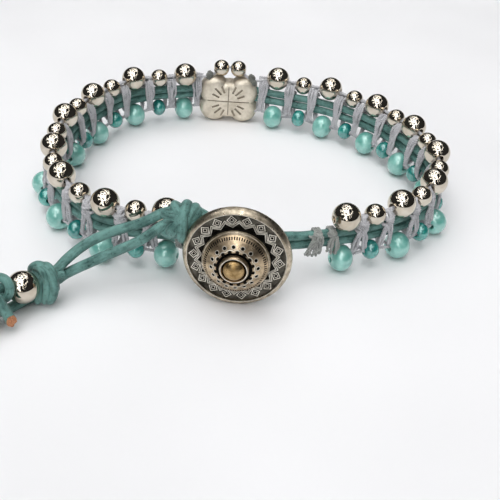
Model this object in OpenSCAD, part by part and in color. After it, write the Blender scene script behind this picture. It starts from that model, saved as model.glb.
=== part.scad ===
// Macrame bracelet: silver beads above and pearl seed beads below a folded leather cord,
// closed by a cast button. It stands on its seed beads, with the button to the front (-Y).

/* [Beads] */
// Diameter of the large silver beads
silver_large_d = 4.2; // [3.8:0.1:4.2]
// Diameter of the small silver beads
silver_small_d = 3.2; // [2.8:0.1:3.2]
// Diameter of the two silver beads over the flower bead
silver_back_d = 3; // [2.8:0.1:3.1]
// Diameter of the large seed beads
seed_large_d = 4.2; // [3.8:0.1:4.3]
// Length of the large seed beads along the band
seed_large_len = 3.5; // [3:0.1:3.5]
// Diameter of the small seed beads
seed_small_d = 3.1; // [2.8:0.1:3.3]
// Length of the small seed beads along the band
seed_small_len = 2.5; // [2.1:0.1:2.6]
// Diameter of the silver beads on the free ends
tail_bead_d = 4.4; // [4:0.1:4.6]

/* [Cord and thread] */
// Diameter of the leather where it is free
leather_d = 1.5; // [1.3:0.1:1.5]
// Diameter of the leather where the knots press it
band_leather_d = 1.4; // [1.2:0.1:1.4]
// Diameter of the thread in the beads
thread_d = 0.5; // [0.3:0.1:0.6]
// Thickness of the thread knotted round the leather
knot_wall = 0.55; // [0.4:0.05:0.6]
// Length of a macrame knot along the band
knot_len = 1.1; // [0.8:0.1:1.2]

/* [Button] */
// Diameter of the button
button_d = 14.8; // [14:0.2:15]
// Height of the boss over the rim
boss_rise = 3.6; // [3.4:0.1:4]
// Thickness of the button's rim
rim_t = 1.6; // [1.4:0.1:1.7]
// Number of diamonds round the field
diamonds = 18; // [12:1:18]
// Number of punched dots on the dome
dots = 16; // [10:1:18]

/* [Flower bead] */
// Width of the flower bead
flower_w = 10.8; // [10:0.2:10.8]
// Height of the flower bead
flower_h = 8.6; // [8.4:0.1:8.7]
// Thickness of the flower bead at its middle
flower_t = 4; // [3.8:0.1:4.2]

/* [Hidden] */
$fn = 48;

// The band's middle line, from its left end round the back to its right end: a row for every
// second silver bead. lean is how far the top stands outward of the bottom.
band = [ // x, y, lean
  [-1.5, -23, 0],
  [-9.5, -19.3, 0],
  [-18.5, -18.5, -1.2],
  [-26, -12, -0.8],
  [-29.8, -3.5, -2],
  [-29, 6.2, 0.3],
  [-26.5, 14.5, -0.5],
  [-21, 22.5, -1],
  [-12.2, 26.5, -2],
  [-4, 28.5, 0],
  [4.8, 27, 1],
  [14.3, 24.5, 1],
  [22.2, 19, 0.5],
  [27.7, 12, 0.7],
  [30.7, 3.5, 0],
  [29.7, -5.5, -1.3],
  [23.7, -12.5, -0.6],
  [15.3, -17, 0],
  [7.5, -19.5, 0]];
left_end = 1;
flower_at = 9;
right_end = 17;
right_tip = 17.7;
side_beads = 15;

gap = 0.04;
strand_pitch = band_leather_d + gap;
bead_out = 0.5;
seed_out_back = -0.6;
lean_height = 6.8;
thread_sides = 6;
leather_sides = 8;

// Colours of the sub-parts
silver_colour = [0.78, 0.77, 0.74];
mint = [0.48, 0.80, 0.73];
turquoise = [0.20, 0.66, 0.63];
teal_leather = [0.35, 0.54, 0.51];
grey_thread = [0.70, 0.70, 0.70];
antique_brass = [0.55, 0.48, 0.37];
warm_silver = [0.82, 0.77, 0.69];

function unit(v) = v / norm(v);
function spline(a, b, c, d, t) =
  0.5 * (2 * b + (c - a) * t + (2 * a - 5 * b + 4 * c - d) * t * t + (3 * b - a - 3 * c + d) * t * t * t);
function row(i) = i < 0 ? 2 * band[0] - band[1]
  : i >= len(band) ? 2 * band[len(band) - 1] - band[len(band) - 2] : band[i];
function station(s) = let (i = min(floor(s), len(band) - 2))
  spline(row(i - 1), row(i), row(i + 1), row(i + 2), s - i);

// Axes at a station: along the band, out of it and up it, the last two leaning with the band
function along_at(s) = let (v = station(s + 0.01) - station(s - 0.01)) unit([v[0], v[1], 0]);
function lean_at(s) = asin(station(s)[2] / lean_height);
function side_at(s) = let (t = along_at(s)) [-t[1], t[0], 0];
function out_at(s) = side_at(s) * cos(lean_at(s)) - [0, 0, sin(lean_at(s))];
function up_at(s) = side_at(s) * sin(lean_at(s)) + [0, 0, cos(lean_at(s))];

// Distance from the band's middle line up or down to the middle of a bead of radius r
function bead_rise(r, out = bead_out) =
  strand_pitch / 2 + sqrt(pow(band_leather_d / 2 + r + gap, 2) - pow(out, 2));
// The seed beads lie outward of the leather in front, and inward of it at the back
function seed_out(s) = let (t = min(max((station(s)[1] + 8) / 24, 0), 1))
  bead_out * (1 - t) + seed_out_back * t;
function middle_z(s) = seed_large_d / 2 + 0.01
  + bead_rise(seed_large_d / 2, seed_out(s)) * cos(lean_at(s)) + seed_out(s) * sin(lean_at(s));
function middle_at(s) = let (p = station(s)) [p[0], p[1], middle_z(s)];
function point_at(s, out, up) = middle_at(s) + out_at(s) * out + up_at(s) * up;

// Sets a piece drawn along X, with Y out and Z up, in axes x, y, z at a point
module set(x, y, z, at) {
  multmatrix([[x[0], y[0], z[0], at[0]], [x[1], y[1], z[1], at[1]], [x[2], y[2], z[2], at[2]], [0, 0, 0, 1]])
    children();
}
module place(s) set(along_at(s), out_at(s), up_at(s), middle_at(s)) children();

// The leather runs straight from one half station to the next: a place on it between two stations
module between(a, b, t) {
  x = unit(middle_at(b) - middle_at(a));
  up = up_at(a) * (1 - t) + up_at(b) * t;
  z = unit(up - (up * x) * x);
  set(x, cross(z, x), z, middle_at(a) * (1 - t) + middle_at(b) * t) children();
}

// A round tube along a route of points: rings carried along without twist
function headings(p) =
  [for (i = [0:len(p) - 1]) unit(p[min(i + 1, len(p) - 1)] - p[max(i - 1, 0)])];
function carried(t, n, i = 0) = i == len(t) ? []
  : let (m = unit(n - (n * t[i]) * t[i])) concat([m], carried(t, m, i + 1));
module tube(route, radius, sides) {
  t = headings(route);
  m = carried(t, [0.02, 0.01, 1]);
  last = len(route) - 1;
  points = [for (i = [0:last]) for (j = [0:sides - 1]) let (a = 360 * (j + 0.5) / sides)
    route[i] + radius[i] * (cos(a) * m[i] + sin(a) * cross(t[i], m[i]))];
  walls = [for (i = [0:last - 1]) for (j = [0:sides - 1]) let (k = (j + 1) % sides)
    each [[i * sides + j, (i + 1) * sides + j, (i + 1) * sides + k],
      [i * sides + j, (i + 1) * sides + k, i * sides + k]]];
  start = [[for (j = [0:sides - 1]) j]];
  end = [[for (j = [sides - 1:-1:0]) last * sides + j]];
  polyhedron(points, concat(walls, start, end));
}

// Points of the leather's fold through the button's shank, from the upper strand to the lower
fold_route = [[-2.4, -22.7, 7.9], [-0.4, -23.7, 8.6], [0.6, -24.1, 8.1], [0.9, -24.2, 7.2],
  [0.6, -24.1, 6.3], [-0.4, -23.7, 5.8], [-2.4, -22.7, 5.7]];
// Points of the button loop, from the band's right end to the closing knot
upper_loop = [[7.4, -19.9, 6.8], [4.2, -22.5, 8.2], [0.5, -24.1, 10.2], [-2.4, -24, 10.8],
  [-4.3, -23.2, 11.5], [-6.3, -22.7, 12.1], [-7.9, -22.95, 11.85]];
lower_loop = [[7.4, -19.9, 5.1], [4.2, -22.5, 4.6], [0.5, -24, 4.1], [-2.2, -24.2, 6], [-3.4, -24.2, 8.6],
  [-4.4, -23.5, 10.3], [-5.8, -23.45, 10.95], [-7.4, -23.8, 10.75]];
// Points of the two free ends, from the closing knot to the cut ends
strand_a = [[-8.2, -23.05, 11.75], [-10, -23.4, 11.2], [-12.7, -24.1, 9.9], [-16.2, -24.4, 8.5],
  [-19.6, -25.2, 6.8], [-22, -27, 5.3], [-23.2, -28.5, 4.4], [-24.3, -29.3, 4.3], [-24.9, -29.8, 3.9],
  [-25.4, -30.6, 3.4], [-26.9, -31.8, 3.7], [-28.3, -32.9, 4], [-28.9, -33.3, 4.4], [-29.3, -33.8, 4.8],
  [-29.6, -34.5, 5.2], [-29.5, -35.3, 5.4], [-29.1, -35.9, 5.1], [-28.6, -36.1, 4.3], [-28.1, -36.1, 3.3],
  [-27.8, -36.2, 2.6], [-27.5, -36.4, 2.2], [-27.2, -36.7, 2]];
strand_b = [[-7.7, -23.85, 10.65], [-9.5, -24.25, 10.05], [-12.5, -25.5, 8.1], [-15.9, -26.4, 6.5],
  [-19.2, -27.2, 4.9], [-22, -27.8, 3.4], [-23.3, -28.6, 2.7], [-24.3, -29.3, 2.7], [-25, -29.75, 2.2],
  [-25.6, -30, 1.4], [-26.3, -30.3, 0.85], [-27.3, -31.2, 0.8], [-28.5, -32.8, 0.9], [-29, -34.2, 1.5],
  [-29.6, -35.4, 2.1], [-30.9, -36.6, 2.25], [-32.3, -37.8, 2.4], [-33.2, -38.6, 2.5], [-34.2, -39.5, 2.5],
  [-34.9, -40, 2], [-35.5, -40.2, 1.2]];
closing_knot_at = [-7.9, -23.4, 11.25];
loop_knot_at = [-24.3, -29.3, 3.5];
bead_a_at = [-26.9, -31.8, 3.7];
bead_b_at = [-30.9, -36.6, 2.25];
end_knot_a_at = [-29.3, -33.8, 4.8];
end_knot_b_at = [-33.2, -38.6, 2.55];

module leather_cord() {
  stations = concat([for (s = [left_end - 0.5:0.5:right_end]) s], [right_tip]);
  beads_up = [for (s = reversed(stations)) point_at(s, 0, strand_pitch / 2)];
  beads_down = [for (s = stations) point_at(s, 0, -strand_pitch / 2)];
  n = len(upper_loop);
  m = len(lower_loop);
  route = concat([for (i = [n - 1:-1:0]) upper_loop[i]], beads_up, fold_route, beads_down, lower_loop);
  radius = concat([for (i = [1:n]) leather_d / 2], [for (p = beads_up) band_leather_d / 2],
    [for (p = fold_route) leather_d / 2], [for (p = beads_down) band_leather_d / 2],
    [for (i = [1:m]) leather_d / 2]);
  color(teal_leather) tube(route, radius, leather_sides);
}

// Beads stand at every half station of the two sides, from the band's end to the flower
function bead_station(side, i) = side == "left" ? left_end + (i - 1) / 2 : right_end - (i - 1) / 2;
function is_large(i) = i % 2 == 1;

module silver_bead(d, bore) {
  difference() {
    sphere(d = d);
    rotate([0, 90, 0]) cylinder(h = 2 * d, d = bore, center = true);
  }
}

module silver(side, i) {
  d = is_large(i) ? silver_large_d : silver_small_d;
  color(silver_colour) place(bead_station(side, i)) translate([0, bead_out, bead_rise(d / 2)])
    silver_bead(d, thread_d + (is_large(i) ? 1.1 : 0.8));
}

// The two small beads that stand over the flower's upper petals
back_spacing = 1.57;
back_rise = 4.55;
back_out = -0.4;
module silver_back(side) {
  color(silver_colour) place(flower_at) translate([side * back_spacing, back_out, back_rise])
    silver_bead(silver_back_d, thread_d + 1);
}

// A seed bead is a ring with round sides, on the thread
module seed(d, length, bore) {
  rotate([0, 90, 0]) rotate_extrude() intersection() {
    translate([(d - length) / 2, 0]) circle(d = length);
    translate([bore / 2, -length]) square([d, 2 * length]);
  }
}

module seeds(large) {
  d = large ? seed_large_d : seed_small_d;
  for (side = ["left", "right"], i = [1:side_beads]) if (is_large(i) == large)
    let (s = bead_station(side, i)) place(s) translate([0, seed_out(s), -bead_rise(d / 2, seed_out(s))])
      seed(d, large ? seed_large_len : seed_small_len, thread_d + 1.4);
}

module large_seed_beads() color(mint) seeds(true);
module small_seed_beads() color(turquoise) seeds(false);

// Threads run from one end of the band to the other through the middles of the beads
function thread_point(s, i, above) =
  let (large_d = above ? silver_large_d : seed_large_d, small_d = above ? silver_small_d : seed_small_d,
    d = is_large(i) ? large_d : small_d, out = above ? bead_out : seed_out(s))
  point_at(s, out, (above ? 1 : -1) * bead_rise(d / 2, out));
function thread_side(side, above) =
  [for (i = [1:side_beads]) thread_point(bead_station(side, i), i, above)];
function reversed(list) = [for (i = [len(list) - 1:-1:0]) list[i]];
module thread(above) {
  middle = above ? [for (x = [-back_spacing, back_spacing])
    point_at(flower_at, back_out, back_rise) + along_at(flower_at) * x] : [];
  if (above) {
    route = concat(thread_side("left", above), middle, reversed(thread_side("right", above)));
    tube(route, [for (p = route) thread_d / 2], thread_sides);
  } else for (side = ["left", "right"]) {
    route = thread_side(side, above);
    tube(route, [for (p = route) thread_d / 2], thread_sides);
  }
}
module upper_thread() color(grey_thread) thread(true);
module lower_thread() color(grey_thread) thread(false);

// Thread knotted round both strands of leather: a flat collar with a round knot on its outer side
module collar(wall, length) {
  inner = band_leather_d / 2 + gap;
  rotate([90, 0, 90]) linear_extrude(length, center = true) difference() {
    stadium(inner + wall);
    stadium(inner);
  }
}
module stadium(r) {
  for (side = [-1, 1]) translate([0, side * strand_pitch / 2]) circle(r);
  square([2 * r, strand_pitch], center = true);
}
knot_bump_d = 1.4;
module macrame_knot(length = knot_len) {
  collar(knot_wall, length);
  translate([0, 1, strand_pitch / 2 + 1.1]) sphere(d = knot_bump_d);
}

// A knot stands in the middle of the gap between a large and a small bead
module macrame_knots() color(grey_thread) {
  for (i = [1:side_beads - 1]) {
    t = is_large(i) ? 0.55 : 0.45;
    left = bead_station("left", i);
    right = bead_station("right", i);
    between(left, left + 0.5, t) macrame_knot();
    between(right - 0.5, right, 1 - t) macrame_knot();
  }
  between(flower_at - 1, flower_at - 0.5, 0.505) macrame_knot(knot_len - 0.2);
  between(flower_at + 0.5, flower_at + 1, 0.495) macrame_knot(knot_len - 0.2);
}

end_wrap_wall = 0.7;
module end_wraps() color(grey_thread) {
  between(left_end - 0.5, left_end, 0.46) collar(knot_wall, knot_len);
  between(right_end, right_tip, 0.38) collar(end_wrap_wall, 1.3);
  between(right_end, right_tip, 0.66) collar(end_wrap_wall, 1.6);
}

// Four petals on the diagonals, thinner towards the edge, with a tunnel for the leather
petal_r = 2.9;
middle_r = 3.9;
tunnel_w = 2.7;
groove_w = 0.3;
module flower_outline() {
  for (x = [-1, 1], y = [-1, 1])
    translate([x * (flower_w / 2 - petal_r), y * (flower_h / 2 - petal_r)]) circle(petal_r);
  circle(middle_r);
}
module petal_marks() {
  for (x = [-1, 1], y = [-1, 1], k = [-1.5:1:1.5]) rotate(45 * x * y + (x < 0 ? 180 : 0) + k * 17)
    translate([2.9 - 0.25 * abs(k), 0]) square([1.6, groove_w], center = true);
  square([groove_w, flower_h + 1], center = true);
  square([flower_w + 1, groove_w], center = true);
}
module flower_bead() {
  swell = 30;
  inward = 0.45;
  mark_depth = 0.25;
  color(warm_silver) place(flower_at) difference() {
    translate([0, -inward, flower_h / 2 - middle_z(flower_at) + 0.07]) rotate([90, 0, 0]) difference() {
      intersection() {
        linear_extrude(flower_t, center = true) flower_outline();
        translate([0, 0, swell - flower_t / 2]) sphere(swell, $fn = 96);
        translate([0, 0, flower_t / 2 - swell]) sphere(swell, $fn = 96);
      }
      for (face = [-1, 1]) translate([0, 0, face * (flower_t / 2 + 0.6 - mark_depth)])
        linear_extrude(1.2, center = true) petal_marks();
    }
    translate([0, -inward, 0]) cube([flower_w + 4, tunnel_w, 2 * strand_pitch + 0.3], center = true);
  }
}

// The button stands on its rim, turned a little to the left and leaning back
button_at = [0.6, -27.3, 7.5];
button_turn = -4;
button_lean = 5;
field_depth = 0.4;
field_r = 6.6;
tier_r = 4.6;
tier_rise = 2.9;
boss_r = 1.45;
module button_profile() {
  rim_edge = 0.5;
  rim_slope = 0.7;
  dome = 6;
  cap = 2;
  collar_at = [1.7, tier_rise - 0.2];
  groove_at = [2.3, tier_rise - 0.45];
  difference() {
    union() {
      polygon([[0, -rim_t], [button_d / 2 - rim_slope, -rim_t], [button_d / 2, -rim_t + rim_slope],
        [button_d / 2, -rim_edge], [button_d / 2 - rim_edge / 2, -0.1], [button_d / 2 - rim_edge, 0],
        [field_r, -0.1], [field_r, -field_depth], [0, -field_depth]]);
      intersection() {
        translate([0, tier_rise - dome]) circle(dome, $fn = 96);
        translate([0, -rim_t / 2]) square([tier_r, rim_t + tier_rise]);
      }
      translate(collar_at) circle(0.3);
      intersection() {
        translate([0, boss_rise - cap]) circle(cap);
        square([boss_r, boss_rise]);
      }
    }
    translate([-button_d, -button_d / 2]) square([button_d, button_d]);
    translate(groove_at) circle(0.2);
  }
}
// Each diamond is a small pyramid's frame on the field, with a raised middle
module diamond() rotate(45) {
  difference() {
    square(1, center = true);
    square(0.62, center = true);
  }
  square(0.3, center = true);
}
shank_r = 1.6;
shank_wire = 0.9;
dot_at = [3.1, 0, tier_rise - 1.15];
module button_body() {
  difference() {
    union() {
      rotate_extrude($fn = 96) button_profile();
      translate([0, 0, -field_depth - 0.2]) linear_extrude(0.4)
        for (i = [0:diamonds - 1]) rotate(90 + (i + 0.5) * 360 / diamonds) translate([5.85, 0]) diamond();
    }
    for (i = [0:dots - 1]) rotate(i * 360 / dots) translate(dot_at)
      cylinder(h = 2, d = 0.42);
  }
  translate([0, 0, -rim_t - shank_r]) rotate([90, 0, 0])
    rotate_extrude() translate([shank_r, 0]) circle(d = shank_wire);
}
module button() color(antique_brass)
  translate(button_at) rotate([0, 0, button_turn]) rotate([90 - button_lean, 0, 0])
    button_body();

// A leather knot: turns laid side by side round the strands inside, one strand or two in a row.
// The last turn may be open below, where a strand leaves.
pressed_d = 1.22;
knot_inner = leather_d / 2 + 0.1;
knot_pitch = leather_d + gap;
module leather_turn(straight, open) {
  r = knot_inner + pressed_d / 2;
  for (end = open ? [0] : [0, 1]) rotate(end * 180) translate([straight / 2, 0, 0])
    rotate([0, 0, -90]) rotate_extrude(angle = 180) translate([r, 0]) circle(d = pressed_d);
  if (straight > 0) for (side = [-1, 1]) translate([0, side * r, 0]) rotate([0, 90, 0])
    cylinder(h = straight, d = pressed_d, center = true);
}
module leather_knot(turns, straight, open = false) {
  for (i = [0:turns - 1]) translate([0, 0, (i - (turns - 1) / 2) * (pressed_d - 0.1)])
    leather_turn(straight, open && i == turns - 1);
}
// Sets a knot with its axis along one direction and its long side towards another
module turned(at, axis, long_side) {
  z = unit(axis);
  x = unit(long_side - (long_side * z) * z);
  set(x, cross(z, x), z, at) children();
}
module closing_knot() color(teal_leather)
  turned(closing_knot_at, [-3, -0.7, -0.8], [0, 0.59, 0.81]) leather_knot(3, knot_pitch);
module loop_knot() color(teal_leather)
  turned(loop_knot_at, [-0.8, -0.57, 0], [0, 0, 1]) leather_knot(2, knot_pitch, true);
module end_knot_a() color(teal_leather)
  turned(end_knot_a_at, [-0.35, -0.8, 0.48], [0, 0, 1]) leather_knot(1, 0);
module end_knot_b() color(teal_leather)
  turned(end_knot_b_at, [-0.75, -0.66, 0.1], [0, 0, 1]) leather_knot(1, 0);

module tail_strand_a() color(teal_leather)
  tube(strand_a, [for (p = strand_a) leather_d / 2], leather_sides);
module tail_strand_b() color(teal_leather)
  tube(strand_b, [for (p = strand_b) leather_d / 2], leather_sides);
module tail_bead(at, axis) color(silver_colour)
  turned(at, axis, [0, 0, 1]) rotate([0, 90, 0]) silver_bead(tail_bead_d, leather_d + 0.5);
module tail_bead_a() tail_bead(bead_a_at, [-0.77, -0.61, 0.18]);
module tail_bead_b() tail_bead(bead_b_at, [-0.75, -0.66, 0.1]);

leather_cord();
upper_thread();
lower_thread();
macrame_knots();
end_wraps();
large_seed_beads();
small_seed_beads();
flower_bead();
button();
closing_knot();
tail_strand_a();
tail_strand_b();
loop_knot();
tail_bead_a();
tail_bead_b();
end_knot_a();
end_knot_b();
silver_back(-1);  // silver_back_1
silver_back(1);  // silver_back_2
for (side = ["left", "right"], i = [1:side_beads])
  silver(side, i);
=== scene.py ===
import bpy
import random
from math import asin, cos, pi, radians, sin, sqrt
from mathutils import Matrix, Vector, noise


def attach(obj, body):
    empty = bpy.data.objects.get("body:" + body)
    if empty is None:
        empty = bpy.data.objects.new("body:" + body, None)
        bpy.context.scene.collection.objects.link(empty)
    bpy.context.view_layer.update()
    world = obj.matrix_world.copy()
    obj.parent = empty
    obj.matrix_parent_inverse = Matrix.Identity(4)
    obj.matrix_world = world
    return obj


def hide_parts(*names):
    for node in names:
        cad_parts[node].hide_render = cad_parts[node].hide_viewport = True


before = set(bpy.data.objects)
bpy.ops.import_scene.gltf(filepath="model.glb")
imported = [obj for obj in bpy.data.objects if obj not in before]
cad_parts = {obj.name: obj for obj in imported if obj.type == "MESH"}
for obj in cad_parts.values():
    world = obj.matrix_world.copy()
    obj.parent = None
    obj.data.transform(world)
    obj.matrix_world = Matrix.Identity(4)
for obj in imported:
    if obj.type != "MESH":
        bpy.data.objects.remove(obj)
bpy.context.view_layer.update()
mm = 0.001  # routes and sizes below are in millimetres, as in the part's source
rng = random.Random(11)
print("frame loaded:", len(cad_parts), "nodes")


# camera: the photograph's own viewing angle, found from the beads' sizes and spacing
cameraSet = {"place": (2.3, -115.17, 72.77), "elevation": 35.86, "roll": 4.495, "lens": 59.51, "sensor": 36,
             "nearest": 0.005, "farthest": 5}
elev, roll = radians(cameraSet["elevation"]), radians(cameraSet["roll"])
flatRight, flatUp = Vector((1, 0, 0)), Vector((0, sin(elev), cos(elev)))
ahead = Vector((0, cos(elev), -sin(elev)))
viewRight = flatRight * cos(roll) + flatUp * sin(roll)
viewUp = flatUp * cos(roll) - flatRight * sin(roll)
bpy.ops.object.camera_add()
camera = bpy.context.object
camera.data.lens = cameraSet["lens"]
camera.data.sensor_width = cameraSet["sensor"]
camera.data.clip_start, camera.data.clip_end = cameraSet["nearest"], cameraSet["farthest"]
turn = Matrix((viewRight, viewUp, -ahead)).transposed().to_4x4()
camera.matrix_world = Matrix.Translation(Vector(cameraSet["place"]) * mm) @ turn
bpy.context.scene.camera = camera


# small tools
def deselect():
    bpy.ops.object.select_all(action="DESELECT")


def pick(piece):  # the only selected object, and the active one
    deselect()
    piece.select_set(True)
    bpy.context.view_layer.objects.active = piece


def makeMesh(name, points, edges, faces=()):
    mesh = bpy.data.meshes.new(name)
    mesh.from_pydata([tuple(p) for p in points], edges, list(faces))
    piece = bpy.data.objects.new(name, mesh)
    bpy.context.collection.objects.link(piece)
    return piece


def hexColour(code):  # sRGB hex to the linear values that the shaders take
    parts = [int(code[i:i + 2], 16) / 255 for i in (1, 3, 5)]
    return tuple(c / 12.92 if c <= 0.04045 else ((c + 0.055) / 1.055) ** 2.4 for c in parts) + (1,)


def addNode(tree, kind, settings={}, links={}):
    node = tree.nodes.new(kind)
    for key, value in settings.items():
        if isinstance(key, str) and hasattr(node, key):
            setattr(node, key, value)
        else:
            node.inputs[key].default_value = value
    for key, source in links.items():
        tree.links.new(source, node.inputs[key])
    return node


def startMaterial(name, settings):
    material = bpy.data.materials.new(name)
    material.use_nodes = True
    tree = material.node_tree
    shader = tree.nodes["Principled BSDF"]
    for key, value in settings.items():
        shader.inputs[key].default_value = value
    return material, tree, shader


def twoColours(tree, source, low, high, dark, light):  # a pattern turned into a range of two colours
    ramp = addNode(tree, "ShaderNodeValToRGB", {}, {"Fac": source})
    ramp.color_ramp.elements[0].position, ramp.color_ramp.elements[0].color = low, hexColour(dark)
    ramp.color_ramp.elements[1].position, ramp.color_ramp.elements[1].color = high, hexColour(light)
    return ramp.outputs["Color"]


def addBump(tree, shader, height, depth, strength=1.0, under=None):  # depth in mm
    links = {"Height": height}
    if under:
        links["Normal"] = under
    bump = addNode(tree, "ShaderNodeBump", {"Strength": strength, "Distance": depth * mm}, links)
    tree.links.new(bump.outputs["Normal"], shader.inputs["Normal"])
    return bump.outputs["Normal"]


def perMm(size):  # a texture's scale for features of that size in mm
    return 1 / (size * mm)


# materials
silverLook = {"colour": "#ddd5c8", "tarnish": "#c6bba9", "roughness": (0.03, 0.085), "clouds": 1.6,
              "scratch": 0.22}


def polishedSilver():
    # brass bead, silver plated and tumble polished: a mirror, faintly clouded by handling
    material, tree, shader = startMaterial("silver plated brass, tumble polished", {"Metallic": 1})
    coords = addNode(tree, "ShaderNodeTexCoord")
    place = coords.outputs["Object"]
    clouds = addNode(tree, "ShaderNodeTexNoise", {"Scale": perMm(silverLook["clouds"]), "Detail": 4},
                     {"Vector": place})
    colour = twoColours(tree, clouds.outputs["Fac"], 0.3, 0.7, silverLook["tarnish"], silverLook["colour"])
    tree.links.new(colour, shader.inputs["Base Color"])
    low, high = silverLook["roughness"]
    rough = addNode(tree, "ShaderNodeMapRange",
                    {"From Min": 0.35, "From Max": 0.75, "To Min": low, "To Max": high},
                    {"Value": clouds.outputs["Fac"]})
    tree.links.new(rough.outputs["Result"], shader.inputs["Roughness"])
    fine = addNode(tree, "ShaderNodeTexNoise", {"Scale": perMm(silverLook["scratch"]), "Detail": 2},
                   {"Vector": place})
    addBump(tree, shader, fine.outputs["Fac"], 0.002, 0.35)
    return material


def pearlGlass(name, deep, light, roughness, metallic):
    # opaque glass seed bead under a pearl lustre: milky colour with a soft wide highlight
    material, tree, shader = startMaterial(name, {
        "Roughness": roughness, "Metallic": metallic, "IOR": 1.52,
        "Coat Weight": 1.0, "Coat Roughness": 0.16, "Coat IOR": 2.1,
        "Subsurface Weight": 0.25, "Subsurface Radius": (0.6, 1.0, 0.95), "Subsurface Scale": 0.5 * mm})
    place = addNode(tree, "ShaderNodeTexCoord").outputs["Object"]
    clouds = addNode(tree, "ShaderNodeTexNoise", {"Scale": perMm(1.8), "Detail": 3}, {"Vector": place})
    tree.links.new(twoColours(tree, clouds.outputs["Fac"], 0.32, 0.7, deep, light),
                   shader.inputs["Base Color"])
    pits = addNode(tree, "ShaderNodeTexNoise", {"Scale": perMm(0.35), "Detail": 3}, {"Vector": place})
    addBump(tree, shader, pits.outputs["Fac"], 0.01, 0.5)
    return material


leatherLook = {"dark": "#284e49", "light": "#6d9a93", "roughness": 0.46, "grain": 0.16, "crease": 0.4,
               "stretch": 0.18, "nick": 0.13, "cutDark": "#a5633f", "cutLight": "#dba177"}


def dyedLeather():
    # round cowhide lace, dyed and waxed: creases along it, fine pores, small nicks and lighter worn patches
    material, tree, shader = startMaterial("cowhide lace, drum dyed and waxed", {
        "Roughness": leatherLook["roughness"], "Specular IOR Level": 0.35, "Sheen Weight": 0.1,
        "Sheen Roughness": 0.5})
    place = addNode(tree, "ShaderNodeTexCoord").outputs["Object"]
    lace = addNode(tree, "ShaderNodeAttribute", {"attribute_name": "lace"}).outputs["Vector"]
    drawn = addNode(tree, "ShaderNodeMapping", {"Scale": (leatherLook["stretch"], 1, 1)},
                    {"Vector": lace}).outputs["Vector"]
    creases = addNode(tree, "ShaderNodeTexNoise",
                      {"Scale": 1 / leatherLook["crease"], "Detail": 5, "Roughness": 0.6, "Distortion": 0.4},
                      {"Vector": drawn})
    patches = addNode(tree, "ShaderNodeTexNoise", {"Scale": perMm(2.2), "Detail": 5, "Roughness": 0.6},
                      {"Vector": place})
    mixed = addNode(tree, "ShaderNodeMath", {"operation": "MULTIPLY_ADD", 1: 0.55},
                    {0: creases.outputs["Fac"], 2: patches.outputs["Fac"]})
    nicks = addNode(tree, "ShaderNodeTexNoise", {"Scale": perMm(0.35), "Detail": 3}, {"Vector": place})
    deep = addNode(tree, "ShaderNodeMapRange", {"From Min": 0.32, "From Max": 0.42},
                   {"Value": nicks.outputs["Fac"]})
    marked = addNode(tree, "ShaderNodeMath", {"operation": "MULTIPLY_ADD", 1: leatherLook["nick"]},
                     {0: deep.outputs["Result"], 2: mixed.outputs["Value"]})
    low, high = 0.52 + leatherLook["nick"], 1.02 + leatherLook["nick"]
    colour = twoColours(tree, marked.outputs["Value"], low, high, leatherLook["dark"], leatherLook["light"])
    tree.links.new(colour, shader.inputs["Base Color"])
    under = addBump(tree, shader, creases.outputs["Fac"], 0.2, 0.9)
    under = addBump(tree, shader, deep.outputs["Result"], 0.08, 0.8, under)
    pores = addNode(tree, "ShaderNodeTexVoronoi", {"Scale": perMm(leatherLook["grain"])}, {"Vector": place})
    addBump(tree, shader, pores.outputs["Distance"], 0.02, 0.3, under)
    return material


def cutLeather():
    # raw middle of the hide where the lace was cut: tan and fibrous
    material, tree, shader = startMaterial("cowhide lace, raw cut end", {"Roughness": 0.85})
    place = addNode(tree, "ShaderNodeTexCoord").outputs["Object"]
    fibres = addNode(tree, "ShaderNodeTexNoise", {"Scale": perMm(0.12), "Detail": 4}, {"Vector": place})
    raw = twoColours(tree, fibres.outputs["Fac"], 0.3, 0.7, leatherLook["cutDark"], leatherLook["cutLight"])
    tree.links.new(raw, shader.inputs["Base Color"])
    addBump(tree, shader, fibres.outputs["Fac"], 0.06, 0.8)
    return material


# the colours for beside the flower are the band's thread darkened as painted shade, where it lies in shadow
threadLook = {"fibre": 0.09, "band": ("#7c7d80", "#c8c8cc"), "wraps": ("#5d605e", "#a3a6a2"),
              "paintedShadeBesideFlower": ("#3d3e3b", "#71736d")}


def nylonThread(name, dark, light):
    # twisted waxed nylon cord: pale grey, with fine filaments that catch the light
    material, tree, shader = startMaterial(name, {
        "Roughness": 0.5, "Sheen Weight": 0.35, "Sheen Roughness": 0.4})
    place = addNode(tree, "ShaderNodeTexCoord").outputs["Object"]
    fibre = addNode(tree, "ShaderNodeTexNoise", {"Scale": perMm(threadLook["fibre"]), "Detail": 3},
                    {"Vector": place})
    dirt = addNode(tree, "ShaderNodeTexNoise", {"Scale": perMm(1.1), "Detail": 3}, {"Vector": place})
    mixed = addNode(tree, "ShaderNodeMath", {"operation": "ADD"},
                    {0: fibre.outputs["Fac"], 1: dirt.outputs["Fac"]})
    tree.links.new(twoColours(tree, mixed.outputs["Value"], 0.55, 1.3, dark, light),
                   shader.inputs["Base Color"])
    addBump(tree, shader, fibre.outputs["Fac"], 0.05, 0.6)
    return material


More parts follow.
